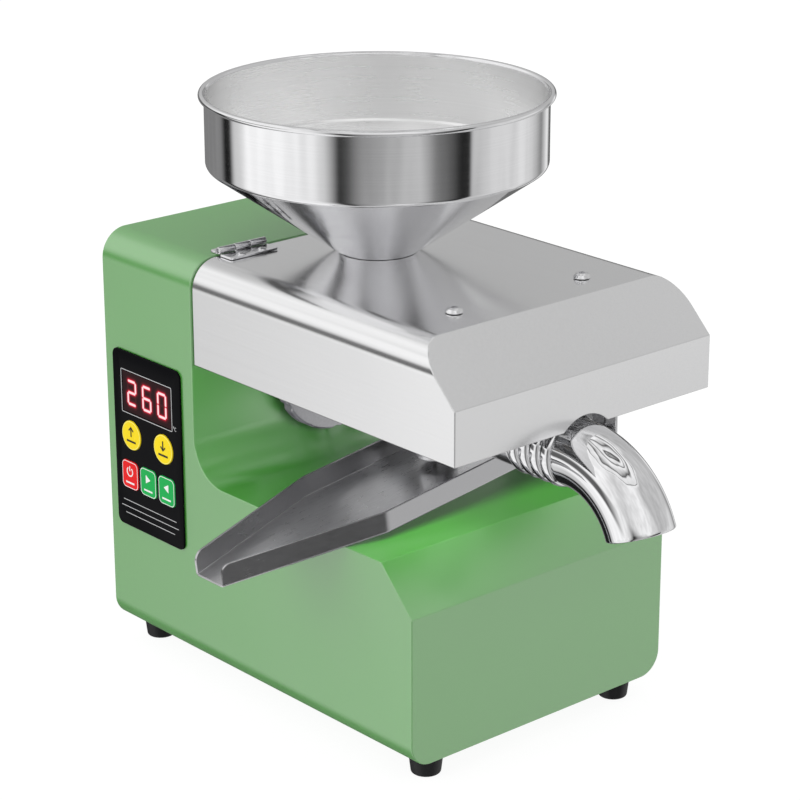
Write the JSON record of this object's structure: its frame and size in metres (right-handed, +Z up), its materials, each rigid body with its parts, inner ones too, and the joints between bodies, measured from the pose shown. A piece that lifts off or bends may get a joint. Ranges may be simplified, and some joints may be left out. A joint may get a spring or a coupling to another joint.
{
  "type": "screw oil press",
  "caption": "Countertop screw oil press: painted housing with a key panel, hinged stainless cover, feed hopper, heated barrel with a geared screw, chrome outlet elbow and sloped oil tray.",
  "frame": {"origin": "middle of the bounding box's base, on the surface the feet stand on", "axes": "+X towards the residue outlet, -Y towards the control panel and the oil tray, +Z up"},
  "size_m": [0.3244, 0.2368, 0.3102],
  "materials": {
    "green_paint": "satin powder coat",
    "stainless": "polished stainless sheet",
    "chrome": "bright chrome plate",
    "steel": "machined steel",
    "aluminium": "milled",
    "zinc": "zinc-plated sheet",
    "brass": "turned brass",
    "black_rubber": "matt rubber",
    "black_plastic": "moulded, fine texture",
    "white_nylon": "moulded nylon",
    "panel_film": "gloss printed film",
    "display_red": "red filter window",
    "board_green": "glass-fibre board",
    "key_yellow": "embossed key",
    "key_red": "embossed key",
    "key_green": "embossed key"
  },
  "bodies": {
    "root": {"casing_shell": "green_paint", "press_barrel": "stainless", "feed_throat": "stainless", "oil_nozzle": "stainless", "tray_rest": "stainless", "adjuster_nut": "chrome", "outlet_elbow": "chrome", "front_bearing": "steel", "rear_bearing": "steel", "barrel_socket": "steel", "heater_band": "steel", "tower_hinge_leaf_right": "steel", "tower_hinge_leaf_left": "steel", "hinge_pin_right": "steel", "hinge_pin_left": "steel", "gearbox_front_plate": "aluminium", "gearbox_rear_plate": "aluminium", "base_plate": "zinc", "rear_cover": "zinc", "gearhead": "zinc", "motor_can": "zinc", "heater_clamp_screw": "zinc", "temperature_probe": "brass", "foot_front_right": "black_rubber", "foot_front_left": "black_rubber", "foot_rear_right": "black_rubber", "foot_rear_left": "black_rubber", "power_inlet": "black_plastic", "switch_frame": "black_plastic", "fan_frame": "black_plastic", "motor_end_cap": "black_plastic", "panel_overlay": "panel_film", "display_module": "display_red", "control_board": "board_green"},
    "cover": {"cover_shell": "stainless", "cover_rest": "stainless", "cover_screw_right": "steel", "cover_screw_left": "steel", "cover_hinge_leaf_right": "steel", "cover_hinge_leaf_left": "steel"},
    "hopper": {"hopper": "stainless"},
    "tray": {"oil_tray": "stainless"},
    "lock_ring": {"lock_ring": "steel"},
    "screw": {"press_screw": "steel", "output_shaft": "steel", "output_gear": "steel"},
    "idler": {"idler_shaft": "steel", "idler_gear": "white_nylon", "idler_pinion": "steel"},
    "rotor": {"motor_shaft": "steel", "motor_pinion": "steel"},
    "fan": {"fan_impeller": "black_plastic"},
    "rocker": {"rocker": "black_plastic"},
    "key_up": {"key_up": "key_yellow"},
    "key_down": {"key_down": "key_yellow"},
    "key_power": {"key_power": "key_red"},
    "key_press": {"key_press": "key_green"},
    "key_clear": {"key_clear": "key_green"}
  },
  "joints": [
    {"name": "cover_hinge", "type": "hinge", "parent": "root", "child": "cover", "pos_m": [-0.08413, 0.03018, 0.2306], "axis": [0, -1, 0], "range_deg": [0, 42]},
    {"name": "hopper_lift", "type": "slide", "parent": "cover", "child": "hopper", "axis": [0, 0, 1], "range_m": [0, 0.07]},
    {"name": "tray_slide", "type": "slide", "parent": "root", "child": "tray", "axis": [0, -0.9909, -0.1348], "range_m": [0, 0.16]},
    {"name": "lock_ring_turn", "type": "hinge", "parent": "root", "child": "lock_ring", "pos_m": [-0.08083, 0.03018, 0.1594], "axis": [1, 0, 0], "range_deg": [0, 60]},
    {"name": "screw_spin", "type": "hinge", "parent": "root", "child": "screw", "pos_m": [-0.08113, 0.03018, 0.1594], "axis": [1, 0, 0], "continuous": true},
    {"name": "idler_spin", "type": "hinge", "parent": "root", "child": "idler", "pos_m": [-0.09093, 0.03018, 0.1094], "axis": [1, 0, 0], "continuous": true},
    {"name": "motor_spin", "type": "hinge", "parent": "root", "child": "rotor", "pos_m": [-0.09093, 0.03018, 0.0614], "axis": [1, 0, 0], "continuous": true},
    {"name": "fan_spin", "type": "hinge", "parent": "root", "child": "fan", "pos_m": [-0.14153, 0.03018, 0.182], "axis": [1, 0, 0], "continuous": true},
    {"name": "rocker_tip", "type": "hinge", "parent": "root", "child": "rocker", "pos_m": [-0.15593, 0.09118, 0.104], "axis": [0, 1, 0], "range_deg": [0, 16]},
    {"name": "key_up_push", "type": "slide", "parent": "root", "child": "key_up", "axis": [0, 1, 0], "range_m": [0, 0.0004], "stiffness_N_per_m": 800},
    {"name": "key_down_push", "type": "slide", "parent": "root", "child": "key_down", "axis": [0, 1, 0], "range_m": [0, 0.0004], "stiffness_N_per_m": 800},
    {"name": "key_power_push", "type": "slide", "parent": "root", "child": "key_power", "axis": [0, 1, 0], "range_m": [0, 0.0004], "stiffness_N_per_m": 800},
    {"name": "key_press_push", "type": "slide", "parent": "root", "child": "key_press", "axis": [0, 1, 0], "range_m": [0, 0.0004], "stiffness_N_per_m": 800},
    {"name": "key_clear_push", "type": "slide", "parent": "root", "child": "key_clear", "axis": [0, 1, 0], "range_m": [0, 0.0004], "stiffness_N_per_m": 800}
  ],
  "couplings": [
    {"joint": "idler_spin", "follows": "screw_spin", "ratio": -2.5714},
    {"joint": "motor_spin", "follows": "screw_spin", "ratio": 7.7143}
  ]
}
